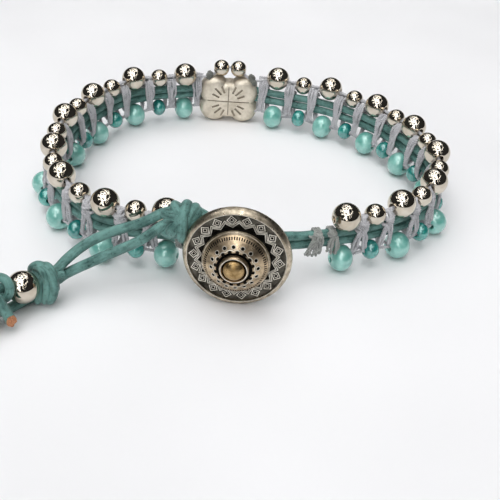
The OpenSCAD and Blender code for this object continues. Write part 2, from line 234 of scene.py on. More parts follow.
def castMetal(name, dark, light, roughness, patch, metallic=1.0):
    # cast and plated metal: polished high spots, darker where the plating keeps its patina
    material, tree, shader = startMaterial(name, {"Metallic": metallic})
    place = addNode(tree, "ShaderNodeTexCoord").outputs["Object"]
    patches = addNode(tree, "ShaderNodeTexNoise", {"Scale": perMm(patch), "Detail": 6, "Roughness": 0.65},
                      {"Vector": place})
    tree.links.new(twoColours(tree, patches.outputs["Fac"], 0.33, 0.68, dark, light),
                   shader.inputs["Base Color"])
    rough = addNode(tree, "ShaderNodeMapRange",
                    {"From Min": 0.3, "From Max": 0.7, "To Min": roughness[1], "To Max": roughness[0]},
                    {"Value": patches.outputs["Fac"]})
    tree.links.new(rough.outputs["Result"], shader.inputs["Roughness"])
    pits = addNode(tree, "ShaderNodeTexNoise", {"Scale": perMm(0.25), "Detail": 4}, {"Vector": place})
    addBump(tree, shader, pits.outputs["Fac"], 0.02, 0.5)
    return material


silver = polishedSilver()
mintPearl = pearlGlass("seed glass 6/0, mint pearl lustre", "#5fb3a6", "#9cdacf", 0.3, 0.1)
turquoisePearl = pearlGlass("seed glass 8/0, turquoise lustre", "#117d7a", "#36aca0", 0.2, 0.25)
leather = dyedLeather()
leatherCore = cutLeather()
nylon = nylonThread("nylon cord, twisted and waxed", *threadLook["band"])
# the same thread darkened as painted shade, for the knots beside the flower
nylonPaintedShade = nylonThread("nylon cord, knotted, darkened as painted shade", *threadLook["paintedShadeBesideFlower"])
nylonWrap = nylonThread("nylon cord, knotted and darkened", *threadLook["wraps"])
brassHigh = castMetal("cast brass, polished rim", "#7b7161", "#e2d4bd", (0.22, 0.4), 1.2)
brassDome = castMetal("cast brass, polished dome", "#796b58", "#d9c2a2", (0.24, 0.42), 1.2)
# raised lines: worn to the metal, and also lightened towards white and made part diffuse as painted
# highlight
brassWornAndHighlit = castMetal("cast brass, rubbed lines, lightened as painted highlight", "#b9b3a5", "#f3eee2", (0.3, 0.45), 0.8, 0.6)
brassBoss = castMetal("cast brass, boss worn to the metal", "#846b44", "#cbad7e", (0.22, 0.38), 1.1)
brassDark = castMetal("cast brass, blackened recess", "#121110", "#302d28", (0.4, 0.6), 0.7)
brassField = castMetal("cast brass, patina on the field", "#2c2a26", "#6c685f", (0.34, 0.55), 1.6)
flowerMetal = castMetal("cast pewter, warm satin plating", "#d2c8b6", "#f1e8d8", (0.4, 0.58), 1.5, 0.85)
flowerDark = castMetal("cast pewter, patina in the engraving", "#9a8f7e", "#beb3a2", (0.45, 0.6), 0.5, 0.85)
print("materials made")


def curveAt(a, b, c, d, t):  # a smooth line from b to c, with a before it and d after it
    return 0.5 * (2 * b + (c - a) * t + (2 * a - 5 * b + 4 * c - d) * t * t
                  + (3 * b - a - 3 * c + d) * t ** 3)


# the band's line, as in the part's source: a row for every second silver bead
bandSet = {
    "rows": [(-1.5, -23, 0), (-9.5, -19.3, 0), (-18.5, -18.5, -1.2), (-26, -12, -0.8), (-29.8, -3.5, -2),
             (-29, 6.2, 0.3), (-26.5, 14.5, -0.5), (-21, 22.5, -1), (-12.2, 26.5, -2), (-4, 28.5, 0),
             (4.8, 27, 1), (14.3, 24.5, 1), (22.2, 19, 0.5), (27.7, 12, 0.7), (30.7, 3.5, 0),
             (29.7, -5.5, -1.3), (23.7, -12.5, -0.6), (15.3, -17, 0), (7.5, -19.5, 0)],
    "leanHeight": 6.8, "leftEnd": 1, "flowerAt": 9, "rightEnd": 17, "rightTip": 17.7, "sideBeads": 15,
    "leather": 1.5, "pressed": 1.4, "gap": 0.04, "beadOut": 0.5, "seedOutBack": -0.6}
beadSet = {"silverLarge": 4.2, "silverSmall": 3.2, "silverBack": 3, "tailBead": 4.4,
           "seedLarge": 4.2, "seedLargeLength": 3.5, "seedSmall": 3.1, "seedSmallLength": 2.5}
strandPitch = bandSet["pressed"] + bandSet["gap"]


def row(i):
    rows = [Vector(r) for r in bandSet["rows"]]
    if i < 0:
        return rows[0] * 2 - rows[1]
    return rows[i] if i < len(rows) else rows[-1] * 2 - rows[-2]


def station(s):
    i = min(int(s), len(bandSet["rows"]) - 2)
    return curveAt(row(i - 1), row(i), row(i + 1), row(i + 2), s - i)


def beadRise(r, out=bandSet["beadOut"]):
    return strandPitch / 2 + sqrt((bandSet["pressed"] / 2 + r + bandSet["gap"]) ** 2 - out ** 2)


def seedOut(s):  # the seed beads lie outward of the leather in front, and inward of it at the back
    t = min(max((station(s).y + 8) / 24, 0), 1)
    return bandSet["beadOut"] * (1 - t) + bandSet["seedOutBack"] * t


def bandAxes(s):  # along, out, up and the middle of the band at a station
    step = station(s + 0.01) - station(s - 0.01)
    along = Vector((step.x, step.y, 0)).normalized()
    side = Vector((-along.y, along.x, 0))
    lean = asin(station(s).z / bandSet["leanHeight"])
    out = side * cos(lean) - Vector((0, 0, sin(lean)))
    up = side * sin(lean) + Vector((0, 0, cos(lean)))
    low = beadSet["seedLarge"] / 2
    height = low + 0.01 + beadRise(low, seedOut(s)) * cos(lean) + seedOut(s) * sin(lean)
    middle = Vector((station(s).x, station(s).y, height))
    return along, out, up, middle


def axesMatrix(x, y, z, at):  # places a shape drawn in mm on axes x, y, z at a point
    return Matrix.Scale(mm, 4) @ Matrix.Translation(at) @ Matrix((x, y, z)).transposed().to_4x4()


def bandPoint(s, out, up):
    _, o, u, middle = bandAxes(s)
    return middle + o * out + u * up


def betweenMatrix(a, b, t):  # a place on the straight leather between two stations
    first, second = bandAxes(a), bandAxes(b)
    x = (second[3] - first[3]).normalized()
    up = first[2] * (1 - t) + second[2] * t
    z = (up - x * up.dot(x)).normalized()
    return axesMatrix(x, z.cross(x), z, first[3] * (1 - t) + second[3] * t)


def beadStation(side, i):
    return bandSet["leftEnd"] + (i - 1) / 2 if side == "left" else bandSet["rightEnd"] - (i - 1) / 2


# tubes: thread is a curve with a round section, and leather a section swept along the same kind of line
def smoothPath(points, step):
    # evenly spaced points on a smooth line through the given ones
    points = [Vector(p) for p in points]
    ends = [points[0] * 2 - points[1]] + points + [points[-1] * 2 - points[-2]]
    fine = []
    for i in range(1, len(ends) - 2):
        a, b, c, d = ends[i - 1:i + 3]
        parts = max(4, int((c - b).length / step * 2))
        fine += [curveAt(a, b, c, d, k / parts) for k in range(parts)]
    fine.append(ends[-2])
    even, left = [fine[0]], step
    for p, q in zip(fine, fine[1:]):
        length = (q - p).length
        while left <= length:
            p = p.lerp(q, left / length)
            length = (q - p).length
            even.append(p)
            left = step
        left -= length
    if (even[-1] - fine[-1]).length > step * 0.3:
        even.append(fine[-1])
    return even


def threadMesh(name, routes, radius, material):
    # plies of thread: a curve with a spline for each route in mm, made a mesh
    curve = bpy.data.curves.new(name, "CURVE")
    curve.dimensions = "3D"
    curve.bevel_depth, curve.bevel_resolution, curve.use_fill_caps = radius * mm, 1, True
    for route in routes:
        spline = curve.splines.new("POLY")
        spline.points.add(len(route) - 1)
        for point, place in zip(spline.points, route):
            point.co = (Vector(place) * mm).to_4d()
        spline.use_smooth = True
    curve.materials.append(material)
    piece = bpy.data.objects.new(name, curve)
    bpy.context.collection.objects.link(piece)
    pick(piece)
    bpy.ops.object.convert(target="MESH")
    return bpy.context.object


# the two free leather ends come first
tailSet = {
    "a": [(-8.2, -23.05, 11.75), (-10, -23.4, 11.2), (-12.7, -24.1, 9.9), (-16.2, -24.4, 8.5),
          (-19.6, -25.2, 6.8), (-22, -27, 5.3), (-23.2, -28.5, 4.4), (-24.3, -29.3, 4.3),
          (-24.9, -29.8, 3.9), (-25.4, -30.6, 3.4), (-26.9, -31.8, 3.7), (-28.3, -32.9, 4),
          (-28.9, -33.3, 4.4), (-29.3, -33.8, 4.8), (-29.6, -34.5, 5.2), (-29.5, -35.3, 5.4),
          (-29.1, -35.9, 5.1), (-28.6, -36.1, 4.3), (-28.1, -36.1, 3.3), (-27.8, -36.2, 2.6),
          (-27.5, -36.4, 2.2), (-27.2, -36.7, 2)],
    "b": [(-7.7, -23.85, 10.65), (-9.5, -24.25, 10.05), (-12.5, -25.5, 8.1), (-15.9, -26.4, 6.5),
          (-19.2, -27.2, 4.9), (-22, -27.8, 3.4), (-23.3, -28.6, 2.7), (-24.3, -29.3, 2.7),
          (-25, -29.75, 2.2), (-25.6, -30, 1.4), (-26.3, -30.3, 0.85), (-27.3, -31.2, 0.8),
          (-28.5, -32.8, 0.9), (-29, -34.2, 1.5), (-29.6, -35.4, 2.1), (-30.9, -36.6, 2.25),
          (-32.3, -37.8, 2.4), (-33.2, -38.6, 2.5), (-34.2, -39.5, 2.5), (-34.9, -40, 2),
          (-35.5, -40.2, 1.2)],
    "closingKnot": (-7.9, -23.4, 11.25), "loopKnot": (-24.3, -29.3, 3.5), "beadA": (-26.9, -31.8, 3.7),
    "beadB": (-30.9, -36.6, 2.25), "endKnotA": (-29.3, -33.8, 4.8), "endKnotB": (-33.2, -38.6, 2.55)}
laceSet = {"step": 0.25, "sides": 20, "flat": 0.05, "uneven": 0.07, "beyond": 0.9, "cutRings": 9}


def laceTube(name, routes, radius):
    # cut lace: a swept round section, slightly facetted and uneven, with its own pattern coordinates in mm
    points, faces, places = [], [], []
    sides = laceSet["sides"]
    for number, route in enumerate(routes):
        line = smoothPath([Vector((*p[:3], p[3] if len(p) > 3 else 1)) for p in map(tuple, route)],
                          laceSet["step"])
        spots = [q.to_3d() for q in line]
        normal, travelled = Vector((0.02, 0.01, 1)), 0
        for k, spot in enumerate(spots):
            heading = (spots[min(k + 1, len(spots) - 1)] - spots[max(k - 1, 0)]).normalized()
            normal = (normal - heading * normal.dot(heading)).normalized()
            other = heading.cross(normal)
            travelled += (spot - spots[k - 1]).length if k else 0
            start = len(points)
            for j in range(sides):
                a = 2 * pi * j / sides
                spread = Vector((travelled * 0.5 + number * 9, 1.4 * cos(a), 1.4 * sin(a)))
                facet = laceSet["flat"] * (1 + cos(3 * a - travelled * 0.3 - number)) / 2
                r = radius * line[k][3] * (1 - facet - laceSet["uneven"] * (noise.noise(spread) + 1) / 2)
                points.append((spot + normal * (cos(a) * r) + other * (sin(a) * r)) * mm)
                places.append((travelled + number * 40, cos(a) * radius, sin(a) * radius))
            if k:
                for j in range(sides):
                    after = (j + 1) % sides
                    faces.append((start - sides + j, start - sides + after, start + after, start + j))
            if k in (0, len(spots) - 1):
                faces.append([start + j for j in (range(sides) if k else range(sides - 1, -1, -1))])
    piece = makeMesh(name, points, [], faces)
    coordinates = piece.data.attributes.new("lace", "FLOAT_VECTOR", "POINT")
    coordinates.data.foreach_set("vector", [c for p in places for c in p])
    piece.data.materials.append(leather)
    pick(piece)
    bpy.ops.object.shade_smooth()
    return piece


def lacePath(route):  # the line that the lace follows, in metres, and its length
    line = [p * mm for p in smoothPath(route, laceSet["step"])]
    return line, sum((q - p).length for p, q in zip(line, line[1:]))


def beyondEnd(route):  # carried on a little past the end, so that the cut takes the whole section
    last, before = Vector(route[-1]), Vector(route[-2])
    return list(route) + [tuple(last + (last - before).normalized() * laceSet["beyond"])]


pathA, lengthA = lacePath(tailSet["a"])
pathB, lengthB = lacePath(tailSet["b"])
tailA = laceTube("tailStrandA", [beyondEnd(tailSet["a"])], bandSet["leather"] / 2)
tailB = laceTube("tailStrandB", [beyondEnd(tailSet["b"])], bandSet["leather"] / 2)
print("free ends:", round(lengthA * 1000, 1), "and", round(lengthB * 1000, 1), "mm")


def finish(piece, slot, *nodes):
    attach(piece, "root")
    if nodes:
        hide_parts(*nodes)
    return piece


def editAll(piece):
    pick(piece)
    bpy.ops.object.mode_set(mode="EDIT")
    bpy.ops.mesh.select_all(action="SELECT")


def objectMode():
    bpy.ops.object.mode_set(mode="OBJECT")


def spinProfile(name, profile, steps, axis=(1, 0, 0), closed=False):
    # a profile drawn in the plane of the axis, spun once round (profile in mm: along the axis, away from it)
    lift = Vector((0, 0, 1)) if axis[0] else Vector((1, 0, 0))
    points = [Vector(axis) * a + lift * r for a, r in profile]
    edges = [(i, i + 1) for i in range(len(points) - 1)] + ([(len(points) - 1, 0)] if closed else [])
    piece = makeMesh(name, points, edges)
    editAll(piece)
    bpy.ops.mesh.spin(steps=steps, angle=2 * pi, center=(0, 0, 0), axis=axis)
    bpy.ops.mesh.select_all(action="SELECT")
    bpy.ops.mesh.remove_doubles(threshold=0.002)
    bpy.ops.mesh.normals_make_consistent(inside=False)
    objectMode()
    bpy.ops.object.shade_smooth()
    return piece


def applyModifier(piece, kind, **settings):
    modifier = piece.modifiers.new(kind.lower(), kind)
    for key, value in settings.items():
        setattr(modifier, key, value)
    pick(piece)
    bpy.ops.object.modifier_apply(modifier=modifier.name)


def copyPiece(pattern, name, matrix, material=None):  # each copy with a mesh of its own, already in place
    mesh = pattern.data.copy()
    mesh.transform(matrix)
    piece = bpy.data.objects.new(name, mesh)
    bpy.context.collection.objects.link(piece)
    if material:
        mesh.materials.clear()
        mesh.materials.append(material)
    return piece


def joinPieces(name, pieces):
    deselect()
    for piece in pieces:
        piece.select_set(True)
    bpy.context.view_layer.objects.active = pieces[0]
    bpy.ops.object.join()
    pieces[0].name = pieces[0].data.name = name
    return pieces[0]


# round beads: one pattern for each size, drilled, with a rolled edge at the hole
def beadProfile(radius, hole, lip=0.12):
    top = sqrt(radius ** 2 - (hole + lip) ** 2)
    start = asin((hole + lip) / radius)
    arc = [(radius * cos(a), radius * sin(a)) for a in
           [start + (pi - 2 * start) * k / 40 for k in range(41)]]
    edge = [(top - lip * 0.35, hole + lip * 0.25), (top - lip * 1.1, hole)]
    return [(0, hole)] + edge[::-1] + arc + [(-a, r) for a, r in edge]


def roundBead(name, diameter, hole):
    return spinProfile(name, beadProfile(diameter / 2, hole / 2), 72, closed=True)


patterns = {"large": roundBead("patternLarge", beadSet["silverLarge"] - 0.02, 0.95),
            "small": roundBead("patternSmall", beadSet["silverSmall"] - 0.02, 0.8),
            "back": roundBead("patternBack", beadSet["silverBack"] - 0.02, 0.8),
            "tail": roundBead("patternTail", beadSet["tailBead"] - 0.02, 1.75)}
for side in ("left", "right"):
    for i in range(1, bandSet["sideBeads"] + 1):
        size, width = ("large", "silverLarge") if i % 2 else ("small", "silverSmall")
        along, out, up, middle = bandAxes(beadStation(side, i))
        at = middle + out * bandSet["beadOut"] + up * beadRise(beadSet[width] / 2)
        finish(copyPiece(patterns[size], f"silverBead.{side}.{i}", axesMatrix(along, out, up, at), silver),
               "polished_silver", f"silver_{side}_{i}")
backSet = {"spacing": 1.57, "rise": 4.55, "out": -0.4}
along, out, up, middle = bandAxes(bandSet["flowerAt"])
for i, place in ((1, -1), (2, 1)):
    at = middle + along * place * backSet["spacing"] + out * backSet["out"] + up * backSet["rise"]
    finish(copyPiece(patterns["back"], f"silverBead.back.{i}", axesMatrix(along, out, up, at), silver),
           "polished_silver", f"silver_back_{i}")


def turnedMatrix(at, axis):  # local Z along the axis, local X as upright as that allows
    z = Vector(axis).normalized()
    x = Vector((0, 0, 1))
    x = (x - z * x.dot(z)).normalized()
    return axesMatrix(x, z.cross(x), z, Vector(at))


quarter = Matrix.Rotation(pi / 2, 4, "Y")
placeA = turnedMatrix(tailSet["beadA"], (-0.77, -0.61, 0.18)) @ quarter
placeB = turnedMatrix(tailSet["beadB"], (-0.75, -0.66, 0.1)) @ quarter
tailBeadA = copyPiece(patterns["tail"], "tailBeadA", placeA, silver)
tailBeadB = copyPiece(patterns["tail"], "tailBeadB", placeB, silver)
finish(tailBeadA, "polished_silver", "tail_bead_a")
finish(tailBeadB, "polished_silver", "tail_bead_b")
print("round beads made")


# seed beads: rounded glass barrels, no two quite alike
def seedProfile(radius, length, hole):
    # a ring with round sides, as drawn glass tumbled soft in the kiln
    half = length / 2
    start = asin(max(hole + half - radius, 0.05) / half)
    turns = [start + (pi - 2 * start) * k / 32 for k in range(33)]
    outline = [(half * cos(a), radius - half + half * sin(a)) for a in turns]
    end = outline[0][0]
    return outline + [(-end * 0.9, hole * 0.9), (0, hole * 0.86), (end * 0.9, hole * 0.9)]


def seedBeads(name, large, material):
    radius = beadSet["seedLarge" if large else "seedSmall"] / 2
    length = beadSet["seedLargeLength" if large else "seedSmallLength"]
    pattern = spinProfile("patternSeed", seedProfile(radius - 0.02, length, 0.5), 40, closed=True)
    copies = []
    for side in ("left", "right"):
        for i in range(1, bandSet["sideBeads"] + 1):
            if bool(i % 2) != large:
                continue
            s = beadStation(side, i)
            along, out, up, middle = bandAxes(s)
            at = middle + out * seedOut(s) - up * beadRise(radius, seedOut(s))
            vary = Matrix.Diagonal((rng.uniform(0.94, 1), rng.uniform(0.97, 1), rng.uniform(0.97, 1), 1))
            copies.append(copyPiece(pattern, name, axesMatrix(along, out, up, at) @ vary, material))
    bpy.data.objects.remove(pattern)
    return joinPieces(name, copies)


finish(seedBeads("mintSeedBeads", True, mintPearl), "mint_pearl_glass", "large_seed_beads")
finish(seedBeads("turquoiseSeedBeads", False, turquoisePearl), "turquoise_pearl_glass", "small_seed_beads")
for pattern in patterns.values():
    bpy.data.objects.remove(pattern)
print("seed beads made")


# the leather of the band, in one length from the closing knot round and back to it
cordSet = {
    "fold": [(-2.4, -22.7, 7.9), (-0.4, -23.7, 8.6), (0.6, -24.1, 8.1), (0.9, -24.2, 7.2),
             (0.6, -24.1, 6.3), (-0.4, -23.7, 5.8), (-2.4, -22.7, 5.7)],
    "upper": [(7.4, -19.9, 6.8), (4.2, -22.5, 8.2), (0.5, -24.1, 10.2), (-2.4, -24, 10.8),
              (-4.3, -23.2, 11.5), (-6.3, -22.7, 12.1), (-7.9, -22.95, 11.85)],
    "lower": [(7.4, -19.9, 5.1), (4.2, -22.5, 4.6), (0.5, -24, 4.1), (-2.2, -24.2, 6), (-3.4, -24.2, 8.6),
              (-4.4, -23.5, 10.3), (-5.8, -23.45, 10.95), (-7.4, -23.8, 10.75)]}
stations = [bandSet["leftEnd"] - 0.5 + k / 2 for k in range(34)] + [bandSet["rightTip"]]
upperHalf = [bandPoint(s, 0, strandPitch / 2) for s in reversed(stations)]
lowerHalf = [bandPoint(s, 0, -strandPitch / 2) for s in stations]
cordRoute = [*reversed(cordSet["upper"]), *upperHalf, *cordSet["fold"], *lowerHalf, *cordSet["lower"]]
thin = bandSet["pressed"] / bandSet["leather"]
widths = ([1] * len(cordSet["upper"]) + [thin] * len(upperHalf) + [1] * len(cordSet["fold"])
          + [thin] * len(lowerHalf) + [1] * len(cordSet["lower"]))
leatherCord = laceTube("leatherCord", [[(*p, w) for p, w in zip(cordRoute, widths)]], bandSet["leather"] / 2)
finish(leatherCord, "teal_leather", "leather_cord")
print("leather cord made")


# leather knots: each is wound from the same lace, turn beside turn, and pulled tight
def knotRoute(points, matrix):
    return [(matrix @ Vector(p)) * (1 / mm) for p in points]


def windings(turns, straight, radius, pitch, tilt):
    # a flattened helix about Z: X is the long side, starts low and ends low
    points = []
    count = int(turns * 12)
    for k in range(count + 1):
        a = radians(knotSet["start"] + 360 * turns * k / count)
        x = cos(a) * radius + straight / 2 * max(-1, min(1, cos(a) / 0.15))
        z = pitch * (k / count - 0.5) * turns + tilt * sin(a)
        points.append((x, sin(a) * radius, z))
    return points


knotSet = {"loopAxis": (-0.8, -0.57, 0), "endAxisA": (-0.35, -0.8, 0.48), "endAxisB": (-0.75, -0.66, 0.1),
           "start": -150, "closingLace": 0.78, "loopLace": 0.6, "endLace": 0.66}


def seenFrom(centre, points):  # points given to the right, up and towards the camera of the knot's middle
    return [Vector(centre) + viewRight * a + viewUp * b - ahead * c for a, b, c in points]


closingStrands = [
    # the turn that holds the knot together, from the top down the front and up behind
    [(1.45, 0.5, -1.3), (1.5, 1.15, -0.8), (1.48, 1.4, 0.0), (1.42, 1.15, 0.85), (1.25, 0.5, 1.45),
     (1.05, -0.2, 1.6), (0.95, -1.2, 1.55), (0.87, -2.2, 1.2), (0.8, -2.95, 0.5), (0.85, -3.05, -0.3),
     (1.0, -2.1, -1.2), (1.25, -0.7, -1.5), (1.4, 0.2, -1.4)],
    # the upper left lobe, from behind over the top and in under the middle turn
    [(1.0, 0.3, -1.3), (0.4, 0.85, -1.0), (0.0, 1.15, -0.4), (-0.12, 1.2, 0.3), (0.05, 0.85, 0.95),
     (0.45, 0.3, 1.25), (1.1, -0.2, 1.15)],
    # the wide left lobe and the one below it
    [(-0.2, -0.3, -1.2), (-0.9, 0.05, -0.9), (-1.4, 0.2, -0.3), (-1.45, 0.2, 0.35), (-1.0, 0.02, 0.95),
     (-0.3, -0.15, 1.2), (0.5, -0.3, 1.25), (1.1, -0.4, 1.0)],
    [(-0.3, -0.9, -0.6), (-0.9, -0.75, 0.0), (-0.95, -0.65, 0.6), (-0.5, -0.6, 1.05), (0.3, -0.6, 1.15),
     (1.0, -0.6, 0.9)],
    [(1.0, -0.3, 0.95), (0.55, -0.85, 1.25), (0.2, -1.45, 1.3), (-0.15, -2.0, 1.05), (-0.42, -2.3, 0.4),
     (-0.35, -2.3, -0.4), (0.2, -1.8, -1.0)],
    [(0.3, -1.2, 1.1), (-0.2, -1.6, 1.1), (-0.55, -1.95, 0.7), (-0.75, -2.1, 0.1), (-0.4, -1.9, -0.6)],
    # the loop's two strands where they leave on the right
    [(1.3, -1.5, 0.6), (1.7, -0.75, 1.0), (2.1, 0.1, 1.1), (2.45, 0.75, 0.75), (2.55, 0.95, 0.0),
     (2.4, 0.6, -0.8), (1.6, -0.1, -1.2)],
    [(1.5, -2.0, 0.1), (2.05, -1.1, 0.65), (2.5, -0.3, 0.85), (2.8, 0.3, 0.5), (2.85, 0.5, -0.2),
     (2.6, 0.2, -0.9), (1.8, -0.6, -1.1)],
    # the dark turn underneath
    [(0.9, -2.3, 0.1), (0.0, -2.5, -0.1), (-1.0, -2.4, -0.4), (-1.7, -1.9, -0.7), (-1.2, -1.2, -1.0)]]
closingRoutes = [seenFrom(tailSet["closingKnot"], strand) for strand in closingStrands]
closingKnot = laceTube("closingKnot", closingRoutes, knotSet["closingLace"])
loopPlace = turnedMatrix(tailSet["loopKnot"], knotSet["loopAxis"])
loopStrands = [
    # the outer turn over the top and down the right side, and the two turns side by side within
    [(-1.9, 0.5, -0.9), (-2.15, 1.0, -0.3), (-1.9, 1.45, 0.45), (-1.08, 1.78, 0.95), (-0.09, 1.5, 1.4),
     (0.73, 0.68, 1.6), (1.14, -0.25, 1.55), (1.24, -1.14, 1.35), (1.06, -2.13, 0.95), (0.5, -2.9, 0.3),
     (-0.2, -3.0, -0.5)],
    [(-1.3, 1.3, -0.4), (-0.75, 1.3, 0.3), (-0.15, 0.69, 0.75), (0.12, -0.23, 0.95), (0.18, -1.22, 0.98),
     (0.08, -2.2, 0.8), (-0.3, -2.95, 0.2), (-0.6, -2.8, -0.6)],
    [(-1.9, 1.2, -0.7), (-1.75, 1.2, 0.1), (-1.32, 0.6, 0.6), (-1.03, -0.36, 0.85), (-0.96, -1.35, 0.88),
     (-1.03, -2.3, 0.7), (-1.3, -2.95, 0.1), (-1.3, -2.7, -0.7)],
    # the strand that comes in on the right, under the outer turn
    [(2.2, 0.5, 0.1), (1.6, 0.35, 0.45), (1.0, 0.0, 0.6), (0.5, -0.6, 0.3)]]
loopRoutes = [seenFrom(tailSet["loopKnot"], strand) for strand in loopStrands]
loopRoutes.append(knotRoute([(x, y, z + 0.45) for x, y, z in windings(2.1, 1.5, 1.1, 1.0, 0.12)], loopPlace))
loopKnot = laceTube("loopKnot", loopRoutes, knotSet["loopLace"])


def endKnot(name, at, axis):  # one turn of the lace round itself, below the bead
    route = knotRoute(windings(1.1, 0, 1.42, 0.5, 0.1), turnedMatrix(at, axis))
    return laceTube(name, [route], knotSet["endLace"])


endKnotA = endKnot("endKnotA", tailSet["endKnotA"], knotSet["endAxisA"])
endKnotB = endKnot("endKnotB", tailSet["endKnotB"], knotSet["endAxisB"])
finish(closingKnot, "teal_leather", "closing_knot")
finish(loopKnot, "teal_leather", "loop_knot")
finish(endKnotA, "teal_leather", "end_knot_a")
finish(endKnotB, "teal_leather", "end_knot_b")


def slantCut(piece, route, normal):
    # the end is trimmed across, and the raw middle of the hide shows; only the last rings are cut
    tip, normal = Vector(route[-1]), Vector(normal).normalized()
    near = len(piece.data.vertices) - laceSet["cutRings"] * laceSet["sides"]
    editAll(piece)
    bpy.ops.mesh.select_mode(type="VERT")
    bpy.ops.mesh.select_all(action="DESELECT")
    objectMode()
    for vertex in piece.data.vertices:
        vertex.select = vertex.index >= near
    bpy.ops.object.mode_set(mode="EDIT")
    bpy.ops.mesh.bisect(plane_co=tip * mm, plane_no=normal, use_fill=True, clear_outer=True)
    objectMode()
    piece.data.materials.append(leatherCore)
    for face in piece.data.polygons:
        middle = face.center * (1 / mm) - tip
        if abs(face.normal.dot(normal)) > 0.98 and middle.length < 1.6 and abs(middle.dot(normal)) < 0.02:
            face.material_index = 1
            face.use_smooth = False
    print(piece.name, "cut:", sum(face.material_index for face in piece.data.polygons), "raw faces")
    return piece


slantCut(tailA, tailSet["a"], (0.72, -0.68, 0.1))
slantCut(tailB, tailSet["b"], (-0.5, -0.45, -0.74))
finish(tailA, "teal_leather", "tail_strand_a")
finish(tailB, "teal_leather", "tail_strand_b")
print("leather knots and free ends made")


# macrame: two-ply nylon, knotted round the leather in every gap between beads
macrameSet = {"ply": 0.13, "wrapPly": 0.11, "spread": 0.14, "pitch": 0.72, "step": 0.15, "wide": 1.12,
              "uneven": 0.1}
outerLeg = [(-0.3, 1.3, 1.5), (-0.5, 1.2, 0.7), (-0.72, 1.08, -0.3), (-0.88, 1.0, -1.4), (-1.0, 0.78, -2.4),
            (-1.3, 0.5, -3.0)]
innerLeg = [(-1.0, 0.45, 3.1), (-0.6, -0.2, 2.75), (-0.62, -0.9, 1.8), (-0.52, -1.08, 0.6),
            (-0.4, -1.1, -0.5), (-0.3, -0.98, -1.6), (-0.4, -0.3, -2.5), (-1.1, 0.45, -3.1)]


def mirrored(strand):
    return [(-x, y, z) for x, y, z in strand]


# places along the band, out of it and up it
gapStrands = [
    # legs from the knot down over the leather to the seed beads' holes
    [(-0.15, 0.9, 3.3), (-0.1, 1.25, 2.6), (0.2, 1.5, 1.9), (0.0, 1.4, 1.1), (-0.2, 1.14, 0.2),
     (-0.38, 1.08, -0.8), (-0.5, 0.98, -1.8), (-0.75, 0.75, -2.7), (-1.25, 0.5, -3.2)],
    [(0.15, 0.9, 3.3), (0.1, 1.3, 2.5), (-0.25, 1.55, 1.8), (0.05, 1.4, 1.0), (0.25, 1.14, 0.1),
     (0.4, 1.08, -0.9), (0.52, 0.98, -1.9), (0.75, 0.75, -2.7), (1.25, 0.5, -3.2)],
    outerLeg, mirrored(outerLeg),
    # the knot itself: four passes over each other, and the ends that come out of the silver beads
    [(-0.66, 0.3, 2.45), (-0.62, 1.0, 2.3), (-0.1, 1.6, 2.25), (0.5, 1.35, 2.5), (0.64, 0.6, 2.75)],
    [(0.66, 0.3, 2.1), (0.62, 1.1, 1.95), (0.05, 1.7, 1.85), (-0.55, 1.35, 2.05), (-0.66, 0.5, 2.3)],
    [(-0.68, 0.3, 1.5), (-0.7, 1.1, 1.35), (-0.1, 1.68, 1.4), (0.6, 1.3, 1.65), (0.68, 0.5, 1.9)],
    [(0.66, 0.5, 1.1), (0.6, 1.15, 1.0), (0.0, 1.58, 0.95), (-0.62, 1.2, 1.15), (-0.68, 0.5, 1.4)],
    [(-1.1, 0.5, 3.2), (-0.4, 0.85, 3.25), (-0.05, 1.15, 2.9), (0.15, 1.45, 2.3), (0.1, 1.3, 1.6)],
    [(1.1, 0.5, 3.2), (0.4, 0.85, 3.2), (0.05, 1.2, 2.8), (-0.15, 1.5, 2.2), (-0.1, 1.3, 1.5)],
    # inside the band: pairs from the silver beads' holes down to between the seed beads
    innerLeg, mirrored(innerLeg),
    [(-0.15, 0.1, 2.9), (-0.15, -0.75, 2.2), (-0.12, -1.15, 1.0), (-0.05, -1.2, -0.2), (0.0, -1.12, -1.3),
     (0.0, -0.6, -2.2), (-0.3, 0.2, -2.8)],
    [(0.2, 0.1, 2.9), (0.22, -0.8, 2.1), (0.2, -1.12, 0.9), (0.12, -1.3, -0.3), (0.05, -1.2, -1.4),
     (0.05, -0.6, -2.3), (0.3, 0.2, -2.8)]]


def twisted(points, matrix, phase, slack=1):
    # two plies wound round each other along the strand
    line = [(matrix @ p) * (1 / mm) for p in smoothPath(points, macrameSet["step"])]
    normal, plies, travelled = Vector((0.2, 0.1, 1)), [[], []], 0
    for k, p in enumerate(line):
        heading = (line[min(k + 1, len(line) - 1)] - line[max(k - 1, 0)]).normalized()
        normal = (normal - heading * normal.dot(heading)).normalized()
        other = heading.cross(normal)
        travelled += (p - line[k - 1]).length if k else 0
        for ply in (0, 1):
            a = phase + pi * ply + 2 * pi * travelled / macrameSet["pitch"]
            plies[ply].append(p + (normal * cos(a) + other * sin(a)) * macrameSet["spread"] * slack)
    return plies


def jitter(points, amount):  # no two knots alike: all but a strand's ends move a little
    moved = [Vector(p) for p in points]
    for p in moved[1:-1]:
        p += Vector([rng.uniform(-amount, amount) for _ in range(3)])
    return moved


def gapRoutes(s, matrix, mirror=1):
    routes, inward = [], seedOut(s) - bandSet["beadOut"]
    for points in gapStrands:
        turned = [(x * mirror * macrameSet["wide"], y + inward * min(max((-1.2 - z) / 1.6, 0), 1), z)
                  for x, y, z in points]
        routes += twisted(jitter(turned, macrameSet["uneven"]), matrix, rng.uniform(0, 6))
    return routes


